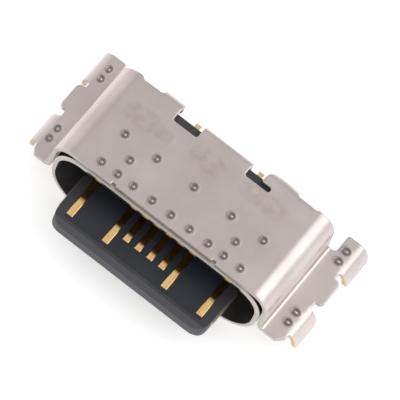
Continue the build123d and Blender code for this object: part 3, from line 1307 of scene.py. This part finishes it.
    def weld_places(self) -> np.ndarray:
        """List the welds of the top and the wings.

        Returns:
            Length across and length back of each weld's middle.
        """
        along = self._along(self.wing_weld_x)
        right = [(across, back) for back, row in self.weld_rows for across in row]
        right += [(along, back) for back in self.wing_weld_places]
        places = []
        for across, back in right:
            places.append((across, back))
            if across:
                places.append((-across, back))
        return np.array(places)

    def _weld_distance(self, points: np.ndarray) -> np.ndarray:
        """The distance of each point of the blank from the nearest weld's middle."""
        return np.linalg.norm(points[:, None] - self.weld_places()[None], axis=2).min(1)

    def _grid(self) -> np.ndarray:
        """Lay out the blank's inner points, closer together across the bends and lips.

        Returns:
            Length across and length back of each point.
        """
        rows = self.bent
        turning = np.abs(np.gradient(np.unwrap(np.arctan2(rows[:, 4], rows[:, 3]))))
        columns = [0.0]
        for length in np.arange(self.scan_step, rows[-1, 0], self.scan_step):
            bending = np.interp(length, rows[:, 0], turning) > 1e-4
            if length - columns[-1] >= (self.bend_spacing if bending else self.spacing):
                columns.append(float(length))
        right = np.array(columns)
        lines = np.arange(self.spacing / 2, self.wing_depth, self.spacing)
        across, back = np.meshgrid(np.concatenate([-right[:0:-1], right]), lines)
        grid = np.column_stack([across.ravel(), back.ravel()])
        in_lip = (np.abs(grid[:, 0]) < self.lip_field[0]) & (grid[:, 1] > self.lip_field[1])
        half_width, start = self.lip_grid
        column, line = self.lip_spacing
        across, back = np.meshgrid(
            np.arange(-half_width, half_width, column), np.arange(start, self.lips[1][-1, 0], line)
        )
        return np.vstack([grid[~in_lip], np.column_stack([across.ravel(), back.ravel()])])

    def _divide(self) -> tuple[np.ndarray, list[tuple[int, ...]], list[int]]:
        """Divide the flat blank into triangles.

        Returns:
            The blank's points, its faces, and the numbers of the points along its rim.
        """
        rim = inset(self.outline, self.edge_round)
        grid = self._grid()
        keep = inside(rim, grid) & (distance_to(rim, grid) > self.rim_clearance)
        grid = grid[keep & (self._weld_distance(grid) > self.weld.clearance)]
        points = np.vstack([rim, grid, self.weld.rings(self.weld_places())])
        count = len(rim)
        loop = [(number, (number + 1) % count) for number in range(count)]
        verts, _, faces, origins, _, _ = delaunay_2d_cdt(
            [Vector(point) for point in points], loop, [], 1, 1e-6
        )
        where = {source: number for number, sources in enumerate(origins) for source in sources}
        blank = np.array([tuple(vert) for vert in verts])
        return blank, [tuple(face) for face in faces], [where[number] for number in range(count)]

    def _mark(self, piece: bpy.types.Object, blank: np.ndarray, near: np.ndarray) -> None:
        """Store on the points where the front edges get a painted highlight, where the welds are,
        and where the top is matt.

        Args:
            piece: The cover.
            blank: Length across and length back of each of its points.
            near: Distance from the nearest weld of the upper face's points, which come first.
        """
        upper = blank[:len(near)]
        # A painted highlight along the edges, kept to those near the front.
        front_sheen = np.exp(-distance_to(self.outline, blank) / self.edge_fade)
        marks = {
            Mark.MATT: np.max([patch.share(upper) for patch in self.patches], axis=0),
            Mark.MELT: self.weld.melt(near),
            Mark.EDGE_SHEEN: front_sheen * np.clip(3 - 2 * blank[:, 1], 0, 1),
            Mark.WELD: self.weld.tint(near),
        }
        for mark, values in marks.items():
            values = np.pad(values, (0, len(blank) - len(values)))
            layer = piece.data.attributes.new(mark.value, "FLOAT", "POINT")
            layer.data.foreach_set("value", values.astype(np.float32))

    def _form(self, name: str) -> bpy.types.Object:
        """Make the bent sheet: two faces, joined by a band with rounded edges.

        Args:
            name: The piece's name.

        Returns:
            The cover, with its marks and with the places of its two finishes.
        """
        flat, faces, rim = self._divide()
        total, count = len(flat), len(rim)
        near = self._weld_distance(flat)
        e, low, half = self.edge_round, self.lower_round, self.half
        profile = (
            (0.30 * e, half - 0.10 * e), (0.0, half - e),
            (0.0, low - half), (0.35 * low, 0.12 * low - half),
        )
        blank = np.vstack([flat, flat, *(inset(self.outline, depth) for depth, _ in profile)])
        lifts = [half + self.weld.height(near), np.full(total, -half)]
        lifts += [np.full(count, lift) for _, lift in profile]
        starts = [2 * total + number * count for number in range(len(profile))]
        loops = [rim, *(range(first, first + count) for first in starts)]
        loops.append([total + number for number in rim])
        faces += [tuple(total + number for number in reversed(face)) for face in faces]
        band = len(faces)
        for upper, lower in zip(loops, loops[1:]):
            for here in range(count):
                after = (here + 1) % count
                faces.append((upper[after], upper[here], lower[here], lower[after]))
        piece = mesh_object(name, self.bend(blank, np.concatenate(lifts)), faces)
        self._mark(piece, blank, near)
        skins = np.full(len(piece.data.polygons), Skin.SHEET.value, np.int32)
        skins[band + count:band + 4 * count] = Skin.CUT.value
        piece.data.polygons.foreach_set("material_index", skins)
        weight_normals(piece)
        return piece

    def build(self, nodes: Nodes, finishes: Finishes) -> list[bpy.types.Object]:
        """Make and dress the cover and its weld rims, and let the cover stand for its node.

        Args:
            nodes: The CAD nodes by name; not used here.
            finishes: The material of each finish.

        Returns:
            The two pieces.
        """
        piece = self._form("cover")
        for finish in (Finish.COVER_STEEL, Finish.COVER_CUT):
            piece.data.materials.append(finishes[finish])
        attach(piece, BODY)
        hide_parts("cover_plate")
        welds = self.weld_places()
        places = self.bend(welds, np.full(len(welds), self.half + self.rims.lift))
        rims = self.rims.build("weld_rims", places, finishes[Finish.WELD_METAL])
        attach(rims, BODY)
        return [piece, rims]


# Pieces that keep their CAD shape


@dataclass(frozen=True)
class Dressed:
    """CAD nodes that keep their shape, and get a finish and perhaps softer edges."""

    names: tuple[str, ...]
    finish: Finish
    edge: float = 0.0

    def build(self, nodes: Nodes, finishes: Finishes) -> list[bpy.types.Object]:
        """Dress the nodes, and leave their meshes alone.

        Args:
            nodes: The CAD nodes by name.
            finishes: The material of each finish.

        Returns:
            The dressed nodes.
        """
        pieces = [nodes[name] for name in self.names]
        for piece in pieces:
            for holder in piece.material_slots:
                holder.material = finishes[self.finish]
            if self.edge:
                soften(piece, self.edge)
        return pieces


@dataclass(frozen=True)
class Mouth(Dressed):
    """The drawn tube round the tongue, into which the plug goes."""

    names: tuple[str, ...] = ("mouth_tube",)
    finish: Finish = Finish.TUBE_STEEL


@dataclass(frozen=True)
class Housing(Dressed):
    """The black moulding round everything inside the mouth."""

    names: tuple[str, ...] = ("housing",)
    finish: Finish = Finish.BLACK_MOULDING
    edge: float = 0.03


@dataclass(frozen=True)
class Plate(Dressed):
    """The steel plate in the tongue, of which the sheared sides show."""

    names: tuple[str, ...] = ("mid_plate",)
    finish: Finish = Finish.PLATE_STEEL


@dataclass(frozen=True)
class Insulators(Dressed):
    """The first mouldings, each of which carries a row of contacts."""

    names: tuple[str, ...] = ("upper_insulator", "lower_insulator")
    finish: Finish = Finish.INSULATOR


@dataclass(frozen=True)
class Contacts(Dressed):
    """The two rows of eight gold-plated contacts."""

    names: tuple[str, ...] = tuple(
        f"{row}_contact_{number}" for row in ("upper", "lower") for number in range(1, 9)
    )
    finish: Finish = Finish.GOLD
    edge: float = 0.02


def main() -> None:
    """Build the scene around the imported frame, and write how large it is."""
    logging.basicConfig(level=logging.INFO, format="%(message)s")
    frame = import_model()
    bpy.context.scene.view_settings.view_transform = "Standard"
    Sight().place()
    Studio().build()
    finishes = {finish: finish.value.material() for finish in Finish}
    for assembly in (Cover(), Mouth(), Housing(), Plate(), Insulators(), Contacts()):
        for piece in assembly.build(frame["nodes"], finishes):
            LOG.info("%s: %d faces", piece.name, len(piece.data.polygons))


if __name__ == "__main__":
    main()
